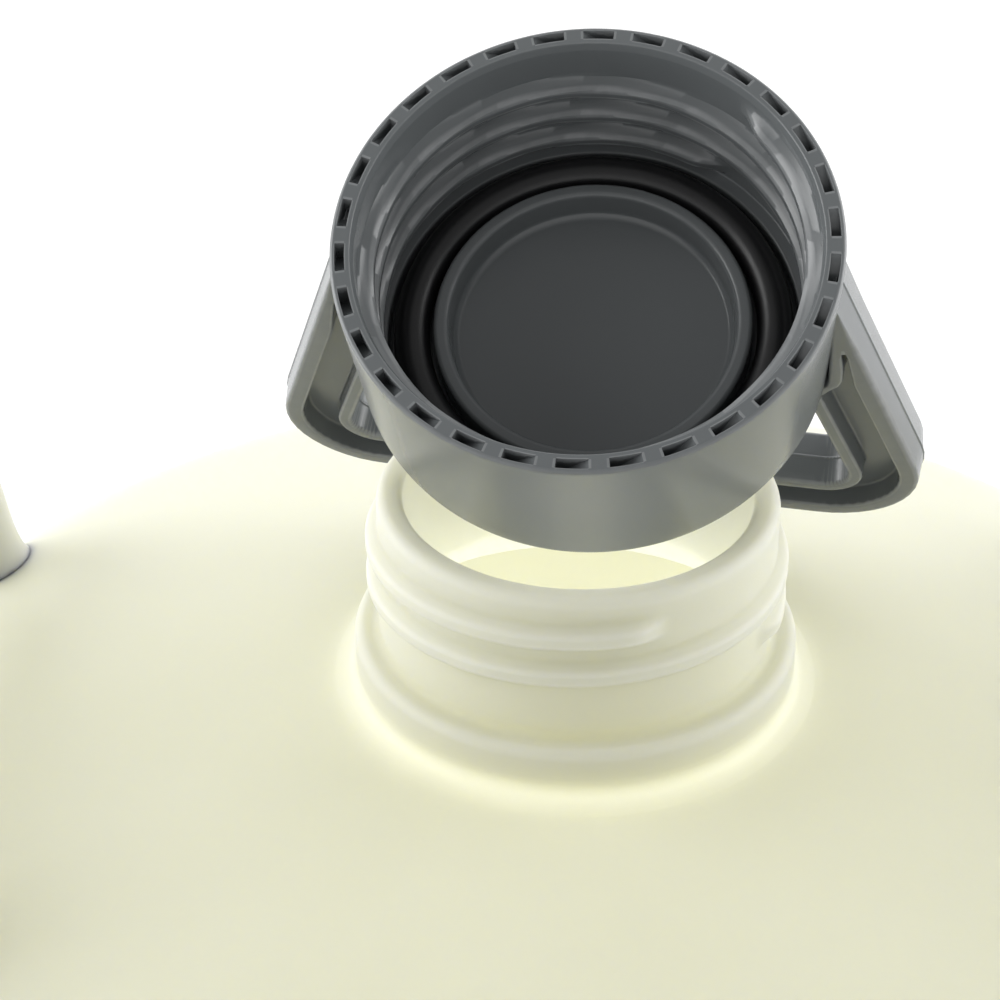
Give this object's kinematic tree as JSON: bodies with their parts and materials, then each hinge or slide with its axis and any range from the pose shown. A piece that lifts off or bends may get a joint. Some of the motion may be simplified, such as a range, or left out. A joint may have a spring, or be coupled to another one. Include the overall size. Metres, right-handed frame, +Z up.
{
  "type": "wide-mouth detergent dispenser bottle",
  "caption": "Round translucent dispenser bottle with a wide threaded neck, side grips, a lever tap, and a loose screw cap with a carrying handle leaning on the neck.",
  "frame": {"origin": "centre of the flat pad in the middle of the base, on the surface the bottle stands on", "axes": "+Z up along the bottle's axis, -Y towards the tap"},
  "size_m": [0.3, 0.3476, 0.3124],
  "materials": {
    "bottle": "milky translucent polyethylene, satin",
    "cap": "moulded grey polypropylene, semi-gloss",
    "lever": "moulded grey polypropylene, semi-gloss",
    "tap": "moulded dark grey polypropylene, semi-gloss",
    "seal_rubber": "black rubber",
    "spring_steel": "drawn stainless wire"
  },
  "bodies": {
    "bottle": {"bottle_body": "bottle", "tap_body": "tap", "tap_bonnet": "tap", "tap_gasket_outer": "seal_rubber", "tap_gasket_inner": "seal_rubber", "tap_nut": "tap", "tap_spring": "spring_steel"},
    "cap": {"screw_cap": "cap", "cap_o_ring": "seal_rubber"},
    "stem": {"tap_stem": "tap", "tap_seat_cup": "seal_rubber"},
    "lever": {"tap_lever": "lever", "tap_lever_pin": "spring_steel"}
  },
  "joints": [
    {"name": "cap_flip", "type": "hinge", "parent": "bottle", "child": "cap", "pos_m": [-0.00022, -0.00158, 0.30157], "axis": [0.9907, -0.1357, 0], "range_deg": [0, 146.44]},
    {"name": "stem_lift", "type": "slide", "parent": "bottle", "child": "stem", "axis": [0, 0, 1], "range_m": [0, 0.004], "stiffness_N_per_m": 300, "springref_m": -0.008, "deforming": ["tap_spring"]},
    {"name": "lever_swing", "type": "hinge", "parent": "stem", "child": "lever", "pos_m": [0, -0.183, 0.0723], "axis": [1, 0, 0], "range_deg": [0, 70]}
  ],
  "couplings": [
    {"joint": "lever_swing", "follows": "stem_lift", "rad_per_m": 305.4}
  ]
}
